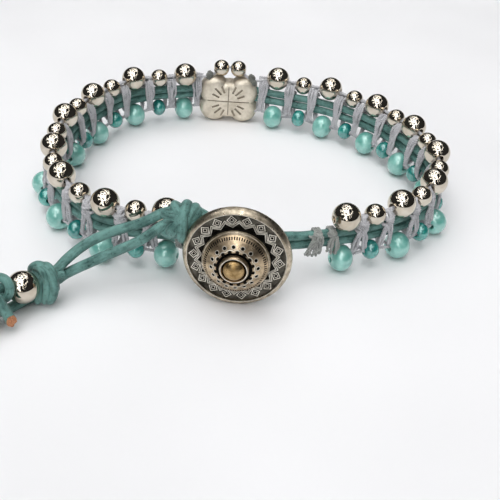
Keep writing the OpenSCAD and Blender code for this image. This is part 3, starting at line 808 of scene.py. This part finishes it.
def sideKnots(side):
    routes = []
    for i in range(1, bandSet["sideBeads"]):
        t = 0.55 if i % 2 else 0.45
        s = beadStation(side, i)
        matrix = betweenMatrix(s, s + 0.5, t) if side == "left" else betweenMatrix(s - 0.5, s, 1 - t)
        routes += gapRoutes(s, matrix, 1 if i % 2 else -1)
    flower = bandSet["flowerAt"]
    routes += gapRoutes(flower, betweenMatrix(flower - 1, flower - 0.5, 0.505) if side == "left"
                        else betweenMatrix(flower + 0.5, flower + 1, 0.495))
    return routes


for side in ("left", "right"):
    knots = threadMesh(f"macrameKnots.{side}", sideKnots(side), macrameSet["ply"], nylon)
    finish(knots, "grey_thread", "macrame_knots")
    print("macrame on the", side, "side:", len(knots.data.polygons), "faces")


def threadBall(centre, radius):
    # thread knotted on itself into a lump: turns that cross, their middle given from the camera's side
    a, b, c = centre
    lumps = []
    for n, normal in enumerate(((1, 0.3, 0.2), (0.2, 1, -0.4), (-0.5, 0.6, 1), (0.7, -0.8, 0.5))):
        axis = Vector(normal).normalized()
        first = axis.orthogonal().normalized()
        second = axis.cross(first)
        reach = radius * (1 - 0.07 * n)
        turn = [(first * cos(k * pi / 5) + second * sin(k * pi / 5)) * reach + axis * 0.15 * sin(k * 1.7)
                for k in range(12)]
        lumps.append([(a + p.x, b + p.y, c + p.z) for p in turn])
    return lumps


knotsBeside = {"left": (-3.75, -1.2, 3.1), "right": (4.3, -1.1, 2.75), "radius": 0.55}


def flowerKnotAt(side):  # where the upper thread is knotted beside the flower's upper petals
    place = knotsBeside[side]
    along, out, up, middle = bandAxes(bandSet["flowerAt"])
    return middle + along * place[0] + out * place[1] + up * place[2]


def besideRoutes():
    routes = []
    for side, centres in (("left", ((0, 0, 0), (0.15, 0.35, -0.2))),
                          ("right", ((-0.2, 0.45, 0), (0.1, -0.4, 0)))):
        for centre in centres:
            for strand in threadBall(centre, knotsBeside["radius"]):
                laid = seenFrom(flowerKnotAt(side), strand)
                routes += twisted(laid, Matrix.Scale(mm, 4), rng.uniform(0, 6))
    return routes


def threadThrough(above):
    # the thread inside the beads, seen only between them
    sizes = ("silverSmall", "silverLarge") if above else ("seedSmall", "seedLarge")
    lines = {"left": [], "right": []}
    for side, line in lines.items():
        for i in range(1, bandSet["sideBeads"] + 1):
            s = beadStation(side, i)
            out = bandSet["beadOut"] if above else seedOut(s)
            rise = beadRise(beadSet[sizes[i % 2]] / 2, out)
            line.append(bandPoint(s, out, rise if above else -rise))
    if not above:
        return [ply for line in lines.values() for ply in twisted(line, Matrix.Scale(mm, 4), 0)]
    along, out, up, middle = bandAxes(bandSet["flowerAt"])
    over = [middle + along * x + out * backSet["out"] + up * backSet["rise"]
            for x in (-backSet["spacing"], backSet["spacing"])]
    whole = lines["left"] + [flowerKnotAt("left")] + over + [flowerKnotAt("right")] + lines["right"][::-1]
    return twisted(whole, Matrix.Scale(mm, 4), 0)


# the knots beside the flower take the thread darkened as painted shade
for name, routes, look, nodes in (("upperThread", threadThrough(True), nylon, ["upper_thread"]),
                                  ("flowerSideKnots", besideRoutes(), nylonPaintedShade, []),
                                  ("lowerThread", threadThrough(False), nylon, ["lower_thread"])):
    finish(threadMesh(name, routes, macrameSet["ply"], look), "grey_thread", *nodes)


def endWrap(turns, length, reach, tilt):
    # turns of thread round both leather strands
    points, count = [], int(turns * 14)
    for k in range(count + 1):
        a = 2 * pi * turns * k / count
        rise = strandPitch / 2 * max(-1, min(1, sin(a) / 0.2))
        points.append((length * (k / count - 0.5) + tilt * sin(a), cos(a) * reach, sin(a) * reach + rise))
    return points


# the two lumpy knots at the right end, as seen from the camera: a ball, and strands that fan out below it
endKnotsSet = [
    {"t": 0.69, "length": 1.1, "ball": (0.15, 0.1, 1.3), "radius": 0.74, "fan": [
        [(-0.3, 0.1, 1.5), (-1.0, 0.35, 1.3), (-1.7, 0.65, 0.8), (-1.9, 0.85, 0.1), (-1.5, 0.8, -0.7)],
        [(-0.4, -0.1, 1.45), (-0.8, -0.9, 1.35), (-1.35, -1.75, 1.05), (-1.6, -2.2, 0.4),
         (-1.2, -2.1, -0.4)],
        [(-0.2, -0.2, 1.55), (-0.5, -1.0, 1.5), (-0.95, -1.9, 1.15), (-1.15, -2.4, 0.5), (-0.8, -2.2, -0.4)],
        [(0.0, -0.2, 1.6), (-0.2, -1.0, 1.5), (-0.45, -1.95, 1.1), (-0.5, -2.45, 0.4), (-0.3, -2.2, -0.4)],
        [(0.2, -0.2, 1.6), (0.15, -1.0, 1.5), (0.05, -1.9, 1.1), (0.0, -2.35, 0.4), (0.1, -2.1, -0.4)],
        [(0.4, -0.1, 1.5), (0.5, -0.9, 1.4), (0.5, -1.7, 1.0), (0.4, -2.1, 0.3), (0.3, -1.9, -0.5)],
        [(0.7, 0.3, 1.2), (0.85, -0.4, 1.2), (0.7, -1.2, 1.1), (0.2, -1.7, 1.2), (-0.5, -2.0, 0.9)]]},
    {"t": 0.31, "length": 0.9, "ball": (0.2, 0.4, 1.2), "radius": 0.6, "fan": [
        [(0.3, 0.1, 1.4), (-0.05, -0.7, 1.35), (-0.45, -1.5, 1.1), (-0.6, -2.05, 0.5), (-0.3, -1.9, -0.4)],
        [(0.5, 0.0, 1.5), (0.3, -0.8, 1.4), (0.05, -1.7, 1.15), (-0.05, -2.25, 0.5), (0.1, -2.0, -0.4)],
        [(0.7, 0.0, 1.5), (0.7, -0.8, 1.4), (0.65, -1.8, 1.1), (0.6, -2.35, 0.5), (0.5, -2.1, -0.4)],
        [(0.9, 0.1, 1.4), (1.05, -0.6, 1.3), (1.05, -1.3, 1.0), (0.9, -1.9, 0.5), (0.7, -1.8, -0.4)]]}]
# the left end has plain turns only, behind the closing knot
endRoutes = twisted(endWrap(3, 1.0, 1.02, 0.1), betweenMatrix(0.5, 1, 0.46), 1.0)
for knot in endKnotsSet:
    wrapMatrix = betweenMatrix(bandSet["rightEnd"], bandSet["rightTip"], knot["t"])
    endRoutes += twisted(endWrap(3, knot["length"], 0.86, 0.1), wrapMatrix, 1.0)
    middle = wrapMatrix.translation * (1 / mm)
    for strand in threadBall(knot["ball"], knot["radius"]) + knot["fan"]:
        laid = jitter(seenFrom(middle, strand), 0.08)
        endRoutes += twisted(laid, Matrix.Scale(mm, 4), rng.uniform(0, 6), 0.85)
finish(threadMesh("endWraps", endRoutes, macrameSet["wrapPly"], nylonWrap), "grey_thread", "end_wraps")
print("threads made")


# cutters: plain forms put in place by a matrix, and what they carve is lined with their own material
def boxAt(matrix):
    deselect()
    bpy.ops.mesh.primitive_cube_add(size=1)
    box = bpy.context.object
    box.data.transform(matrix)
    return box


def rodAt(matrix, sides, radius, depth):
    deselect()
    bpy.ops.mesh.primitive_cylinder_add(vertices=sides, radius=radius, depth=depth)
    rod = bpy.context.object
    rod.data.transform(matrix)
    return rod


def carve(piece, cutter, material):
    cutter.data.materials.clear()
    cutter.data.materials.append(material)
    applyModifier(piece, "BOOLEAN", object=cutter, operation="DIFFERENCE", solver="EXACT",
                  material_mode="TRANSFER")
    bpy.data.objects.remove(cutter)


# the flower bead: four round petals, pinched between, engraved on both faces
flowerSet = {"width": 10.8, "height": 8.6, "thickness": 3.8, "petal": 2.7, "middle": 3.5, "edge": 1.2,
             "inward": 0.45, "lift": 0.07, "dash": (1.7, 0.36, 0.6), "dashAt": 2.7, "dashTurn": 21,
             "groove": 0.2, "tunnel": (15, 2 * strandPitch + 0.4, 2.0)}


def flowerDisc(radius, depth, x, y):
    # a flat disc with well rounded edges: one petal, or the middle
    deselect()
    bpy.ops.mesh.primitive_cylinder_add(vertices=64, radius=radius, depth=depth)
    disc = bpy.context.object
    applyModifier(disc, "BEVEL", width=flowerSet["edge"], segments=8, limit_method="ANGLE")
    disc.data.transform(Matrix.Translation((x, y, 0)))
    return disc


def flowerBead():
    along, out, up, middle = bandAxes(bandSet["flowerAt"])
    rise = flowerSet["height"] / 2 - middle.z + flowerSet["lift"]
    half, tall, r = flowerSet["width"] / 2, flowerSet["height"] / 2, flowerSet["petal"]
    discs = [flowerDisc(r, flowerSet["thickness"], x * (half - r), y * (tall - r))
             for x in (-1, 1) for y in (-1, 1)]
    discs.append(flowerDisc(flowerSet["middle"], flowerSet["thickness"] + 0.1, 0, 0))
    flower = joinPieces("flowerBead", discs)
    applyModifier(flower, "REMESH", mode="VOXEL", voxel_size=0.1)
    applyModifier(flower, "SMOOTH", factor=0.5, iterations=4)
    # engraving: dashes on each petal, and a fine cross between them
    flower.data.materials.append(flowerMetal)
    dashes, level, upright = [], [], []
    length, width, deep = flowerSet["dash"]
    for face in (-1, 1):
        for x in (-1, 1):
            for y in (-1, 1):
                for k in (-1, 0, 1):
                    angle = radians(45 * x * y + (180 if x < 0 else 0) + k * flowerSet["dashTurn"])
                    spot = Matrix.Translation((flowerSet["dashAt"] - 0.15 * abs(k), 0, face * 2.0))
                    size = Matrix.Diagonal((length - 0.3 * abs(k), width, deep, 1))
                    dashes.append(Matrix.Rotation(angle, 4, "Z") @ spot @ size)
        spot = Matrix.Translation((0, 0, face * 2.05))
        level.append(spot @ Matrix.Diagonal((flowerSet["width"] + 1, flowerSet["groove"], 0.5, 1)))
        upright.append(spot @ Matrix.Diagonal((flowerSet["groove"], flowerSet["height"] + 1, 0.5, 1)))
    for spots in (dashes, level, upright):
        carve(flower, joinPieces("flowerCutter", [boxAt(spot) for spot in spots]), flowerDark)
        print("flower engraved:", len(flower.data.polygons), "faces")
    tunnel = boxAt(Matrix.Translation((0, -rise, 0)) @ Matrix.Diagonal((*flowerSet["tunnel"], 1)))
    carve(flower, tunnel, flowerDark)
    # drawn flat with Z through the bead: Z goes out of the band
    flower.data.transform(axesMatrix(along, up, -out, middle - out * flowerSet["inward"] + up * rise))
    pick(flower)
    bpy.ops.object.shade_smooth_by_angle(angle=radians(40))
    return flower


finish(flowerBead(), "warm_silver", "flower_bead")
print("flower bead made")


# the button: spun body, punched dots and ticks, raised diamonds and zigzag
buttonSet = {"at": (0.6, -27.3, 7.5), "turn": -4, "lean": 5, "dome": 6, "domeRise": 2.9,
             "dots": 16, "dotsAt": 3.1, "dotRadius": 0.26, "scallopsAt": 2.5,
             "lineAt": 2.62, "lineWave": 0.16, "lineRadius": 0.055,
             "ticks": 76, "ticksAt": 4.02, "tick": (0.46, 0.17, 0.5),
             "diamonds": 18, "diamondAt": 5.78, "diamondSide": 1.02, "relief": 0.2, "field": -0.45,
             "insets": ((0.13, -0.17), (0.13, 0.15), (0.08, -0.14)),
             "chevrons": ((5.0, 5.72), (4.72, 5.42)), "chevronWidth": 0.12,
             "shankRing": 1.6, "shankWire": 0.45, "shankAt": -3.2}
buttonZones = [  # the finish of each zone of the front: its two radii, its two heights and its material
    # the ring's top and the rim's edge take the raised lines' finish: worn metal with painted highlight
    (2.0, 2.38, 0, 4, brassDark), (1.45, 1.56, 0, 2.85, brassDark), (4.6, 5.75, -0.6, 0.4, brassDark),
    (5.75, 6.59, -0.6, -0.3, brassField), (1.6, 1.9, 2.88, 4, brassWornAndHighlit), (6.58, 6.72, -0.2, 4, brassWornAndHighlit),
    (0, 1.46, 2.5, 4, brassBoss), (0, 4.35, 0.6, 4, brassDome)]
buttonPlace = (Matrix.Scale(mm, 4) @ Matrix.Translation(buttonSet["at"])
               @ Matrix.Rotation(radians(buttonSet["turn"]), 4, "Z")
               @ Matrix.Rotation(radians(90 - buttonSet["lean"]), 4, "X"))


def domeHeight(r):
    return buttonSet["domeRise"] - buttonSet["dome"] + sqrt(buttonSet["dome"] ** 2 - r * r)


def buttonProfile():
    # height over the rim's front, distance from the middle; from the back round the rim to the boss
    back = [(-1.58, 0), (-1.58, 6.4), (-1.55, 6.72), (-1.44, 7.02), (-1.25, 7.25)]
    rim = [(-0.95 + 0.95 * sin(radians(a)), 6.62 + 0.77 * cos(radians(a))) for a in range(-6, 84, 8)]
    field = [(-0.01, 6.68), (-0.08, 6.62), (-0.42, 6.58), (-0.44, 6.15), (-0.44, 5.75), (-0.44, 4.95),
             (-0.42, 4.72), (-0.3, 4.66)]
    step = [(0.1, 4.63), (0.4, 4.61), (0.6, 4.58), (0.74, 4.5), (0.76, 4.4), (domeHeight(4.34) - 0.1, 4.34),
            (domeHeight(4.28), 4.28)]
    dome = [(domeHeight(r), r) for r in (4.2, 3.9, 3.6, 3.3, 3.0, 2.7, 2.42)]
    collar = [(2.3, 2.36), (2.12, 2.28), (2.08, 2.12), (2.26, 2.02), (2.6, 1.98), (2.82, 1.93),
              (2.92, 1.82), (2.92, 1.71), (2.8, 1.6), (2.55, 1.5)]
    boss = [(2.6, 1.455), (2.82, 1.44), (3.02, 1.37), (3.22, 1.18), (3.4, 0.9), (3.51, 0.58), (3.58, 0.28),
            (3.59, 0)]
    return back + rim + field + step + dome + collar + boss


def buttonBody():
    body = spinProfile("button", buttonProfile(), 144, (0, 0, 1))
    finishes = [brassHigh, brassDark, brassBoss, brassField, brassWornAndHighlit, brassDome]
    for material in finishes:
        body.data.materials.append(material)
    for face in body.data.polygons:
        height, r = face.center.z, face.center.to_2d().length
        for inner, outer, low, high, material in buttonZones:
            if inner <= r < outer and low < height < high:
                face.material_index = finishes.index(material)
                break
    return body


def turnAt(number, count):  # the angle of one of so many round the button
    return 2 * pi * number / count


def onDome(turn, r, lift=0.0):  # a place on the dome, with Z square to its surface
    slope = asin(r / buttonSet["dome"])
    spot = Matrix.Translation((r, 0, domeHeight(r))) @ Matrix.Rotation(slope, 4, "Y")
    return Matrix.Rotation(turn, 4, "Z") @ spot @ Matrix.Translation((0, 0, lift))


def buttonCutter():
    dots, radius = buttonSet["dots"], buttonSet["dotRadius"]
    length, width, deep = buttonSet["tick"]
    cutters = [rodAt(onDome(turnAt(i + 0.25, dots), buttonSet["dotsAt"], 0.25), 16, radius, 1)
               for i in range(dots)]
    for i in range(buttonSet["ticks"]):
        spot = onDome(turnAt(i, buttonSet["ticks"]), buttonSet["ticksAt"], 0.05)
        cutters.append(boxAt(spot @ Matrix.Diagonal((length, width, deep, 1))))
    for i in range(dots):
        cutters.append(rodAt(onDome(turnAt(i + 0.75, dots), buttonSet["scallopsAt"], 0.06), 20, radius, 0.4))
    return joinPieces("buttonCutter", cutters)


def dotRims():
    # the punch throws up a fine rim round each dot, bright with worn metal and painted highlight
    deselect()
    bpy.ops.mesh.primitive_torus_add(major_radius=buttonSet["dotRadius"] + 0.02, minor_radius=0.045,
                                     major_segments=20, minor_segments=6)
    pattern, dots = bpy.context.object, buttonSet["dots"]
    rims = [copyPiece(pattern, "dotRim", onDome(turnAt(i + 0.25, dots), buttonSet["dotsAt"]), brassWornAndHighlit)
            for i in range(dots)]
    bpy.data.objects.remove(pattern)
    return rims


def diamond():
    # one raised diamond: frame, sunk band and raised middle, worked by inset and extrude
    deselect()
    bpy.ops.mesh.primitive_plane_add(size=buttonSet["diamondSide"])
    piece = bpy.context.object
    editAll(piece)
    bpy.ops.mesh.extrude_region_move(TRANSFORM_OT_translate={"value": (0, 0, buttonSet["relief"])})
    for inset, lift in buttonSet["insets"]:
        bpy.ops.mesh.inset(thickness=inset, depth=0)
        bpy.ops.mesh.extrude_region_move(TRANSFORM_OT_translate={"value": (0, 0, lift)})
    objectMode()
    piece.data.transform(Matrix.Rotation(pi / 4, 4, "Z"))
    applyModifier(piece, "BEVEL", width=0.02, segments=2, limit_method="ANGLE")
    # the frame: worn metal with painted highlight; the sunk band: blackened recess
    piece.data.materials.append(brassWornAndHighlit)
    piece.data.materials.append(brassDark)
    for face in piece.data.polygons:
        if face.center.z < buttonSet["relief"] - 0.06 and max(abs(face.center.x), abs(face.center.y)) < 0.56:
            face.material_index = 1
    return piece


def bar(start, end, width):
    # a raised line between two places on the field
    start, end = Vector(start), Vector(end)
    heading = (end - start).normalized()
    middleAt, base, height = (start + end) / 2, buttonSet["field"], buttonSet["relief"]
    placing = Matrix(((heading.x, -heading.y, 0, middleAt.x), (heading.y, heading.x, 0, middleAt.y),
                      (0, 0, 1, base + height / 2), (0, 0, 0, 1)))
    piece = boxAt(placing @ Matrix.Diagonal(((end - start).length + width * 0.7, width, height, 1)))
    applyModifier(piece, "BEVEL", width=0.03, segments=2, limit_method="ANGLE")
    return piece


def buttonRelief():
    # diamonds round the field, each over a double chevron
    count = buttonSet["diamonds"]
    half = pi / count
    pattern = diamond()
    bars = [bar((low, 0), (high * cos(half), side * high * sin(half)), buttonSet["chevronWidth"])
            for low, high in buttonSet["chevrons"] for side in (-1, 1)]
    chevron = joinPieces("chevron", bars)
    turns = [Matrix.Rotation(pi / 2 + turnAt(i + 0.5, count), 4, "Z") for i in range(count)]
    spot = Matrix.Translation((buttonSet["diamondAt"], 0, buttonSet["field"]))
    stones = [copyPiece(pattern, "stone", turn @ spot) for turn in turns]
    # the chevrons: worn metal with painted highlight
    stones += [copyPiece(chevron, "chevronCopy", turn, brassWornAndHighlit) for turn in turns]
    bpy.data.objects.remove(pattern)
    bpy.data.objects.remove(chevron)
    return stones


def wavyLine():
    # the raised line that runs in scallops round the collar, worn metal with painted highlight
    count, points = buttonSet["dots"], []
    for k in range(count * 10 + 1):
        a = turnAt(k / 10 + 0.25, count)
        r = buttonSet["lineAt"] + buttonSet["lineWave"] * abs(cos(count / 2 * (a - turnAt(0.75, count))))
        points.append((r * cos(a), r * sin(a), domeHeight(r) + 0.01))
    line = threadMesh("wavyLine", [points], buttonSet["lineRadius"], brassWornAndHighlit)
    line.data.transform(Matrix.Scale(1 / mm, 4))
    return line


def shank():
    # the soldered loop behind, and its round foot
    deselect()
    bpy.ops.mesh.primitive_torus_add(
        major_radius=buttonSet["shankRing"], minor_radius=buttonSet["shankWire"],
        major_segments=48, minor_segments=16, rotation=(pi / 2, 0, 0))
    loop = bpy.context.object
    bpy.ops.object.transform_apply(location=True, rotation=True)
    loop.data.transform(Matrix.Translation((0, 0, buttonSet["shankAt"])))
    bpy.ops.object.shade_smooth()
    loop.data.materials.append(brassHigh)
    foot = spinProfile("foot", [(-1.5, 1.5), (-1.62, 1.42), (-1.72, 1.1), (-1.75, 0)], 32, (0, 0, 1))
    foot.data.materials.append(brassHigh)
    return [loop, foot]


def makeButton():
    body = buttonBody()
    carve(body, buttonCutter(), brassDark)
    whole = joinPieces("button", [body, *buttonRelief(), *dotRims(), wavyLine(), *shank()])
    whole.data.transform(buttonPlace)
    pick(whole)
    bpy.ops.object.shade_smooth_by_angle(angle=radians(35))
    return whole


finish(makeButton(), "antique_brass", "button")
print("button made")


# floor and soft studio light
floorSet = {"size": 3, "dark": "#efeff1", "light": "#f8f8fa", "mottle": 60}
deselect()
bpy.ops.mesh.primitive_plane_add(size=floorSet["size"])
floor = bpy.context.object
floor.name = "floor"
material, tree, shader = startMaterial("painted board, matt white",
                                       {"Roughness": 0.55, "Specular IOR Level": 0.3})
place = addNode(tree, "ShaderNodeTexCoord").outputs["Object"]
mottle = addNode(tree, "ShaderNodeTexNoise", {"Scale": perMm(floorSet["mottle"]), "Detail": 2},
                 {"Vector": place})
colour = twoColours(tree, mottle.outputs["Fac"], 0.3, 0.7, floorSet["dark"], floorSet["light"])
tree.links.new(colour, shader.inputs["Base Color"])
floor.data.materials.append(material)

lightSet = {"towards": (-0.1, -0.33, 0.94), "aside": 0.1, "reach": 0.42, "width": 0.48, "ragged": 1.1,
            "leaves": 2.6, "power": 3.15, "room": 0.03, "backdrop": 0.95,
            "fill": 0.9, "fillSize": 0.7, "fillAt": (-0.05, 0.05, 0.6)}


def makeWorld():
    # one large bright window over the camera's shoulder, broken up by leaves, in a dark room
    world = bpy.data.worlds.new("studio")
    bpy.context.scene.world = world
    world.use_nodes = True
    tree = world.node_tree
    tree.nodes.clear()
    heading = addNode(tree, "ShaderNodeTexCoord").outputs["Generated"]
    centre = Vector(lightSet["towards"]).normalized()
    leaves = addNode(tree, "ShaderNodeTexNoise",
                     {"Scale": lightSet["leaves"], "Detail": 3, "Roughness": 0.5},
                     {"Vector": heading}).outputs["Fac"]
    half = lightSet["ragged"] / 2
    ragged = addNode(tree, "ShaderNodeMapRange",
                     {"From Min": 0.42, "From Max": 0.58, "To Min": -half, "To Max": half},
                     {"Value": leaves}).outputs["Result"]
    facing = addNode(tree, "ShaderNodeVectorMath", {"operation": "DOT_PRODUCT", 1: centre},
                     {0: heading}).outputs["Value"]
    tall = addNode(tree, "ShaderNodeMath", {"operation": "ADD"}, {0: facing, 1: ragged}).outputs["Value"]
    sideways = addNode(tree, "ShaderNodeSeparateXYZ", {}, {"Vector": heading}).outputs["X"]
    shifted = addNode(tree, "ShaderNodeMath", {"operation": "ADD", 1: lightSet["aside"]},
                      {0: sideways}).outputs["Value"]
    width = addNode(tree, "ShaderNodeMath", {"operation": "ABSOLUTE"}, {0: shifted}).outputs["Value"]
    narrow = addNode(tree, "ShaderNodeMath", {"operation": "ADD"}, {0: width, 1: ragged}).outputs["Value"]
    inHeight = addNode(tree, "ShaderNodeMath", {"operation": "GREATER_THAN", 1: lightSet["reach"]},
                       {0: tall}).outputs["Value"]
    inWidth = addNode(tree, "ShaderNodeMath", {"operation": "LESS_THAN", 1: lightSet["width"]},
                      {0: narrow}).outputs["Value"]
    mask = addNode(tree, "ShaderNodeMath", {"operation": "MULTIPLY"},
                   {0: inHeight, 1: inWidth}).outputs["Value"]
    power = addNode(tree, "ShaderNodeMath",
                    {"operation": "MULTIPLY_ADD", 1: lightSet["power"], 2: lightSet["room"]},
                    {0: mask}).outputs["Value"]
    seen = addNode(tree, "ShaderNodeLightPath").outputs["Is Camera Ray"]
    light = addNode(tree, "ShaderNodeMix", {"data_type": "FLOAT", 3: lightSet["backdrop"]},
                    {0: seen, 2: power}).outputs[0]
    background = addNode(tree, "ShaderNodeBackground", {"Color": (1, 1, 1, 1)}, {"Strength": light})
    addNode(tree, "ShaderNodeOutputWorld", {}, {"Surface": background.outputs["Background"]})


makeWorld()
deselect()
bpy.ops.object.light_add(type="AREA", location=lightSet["fillAt"])
overhead = bpy.context.object
overhead.data.size = lightSet["fillSize"]
overhead.data.energy = lightSet["fill"]
overhead.visible_glossy = False  # it fills the shadows and isn't mirrored in the beads
print("stage and light made")

bpy.context.scene.view_settings.view_transform = "Standard"
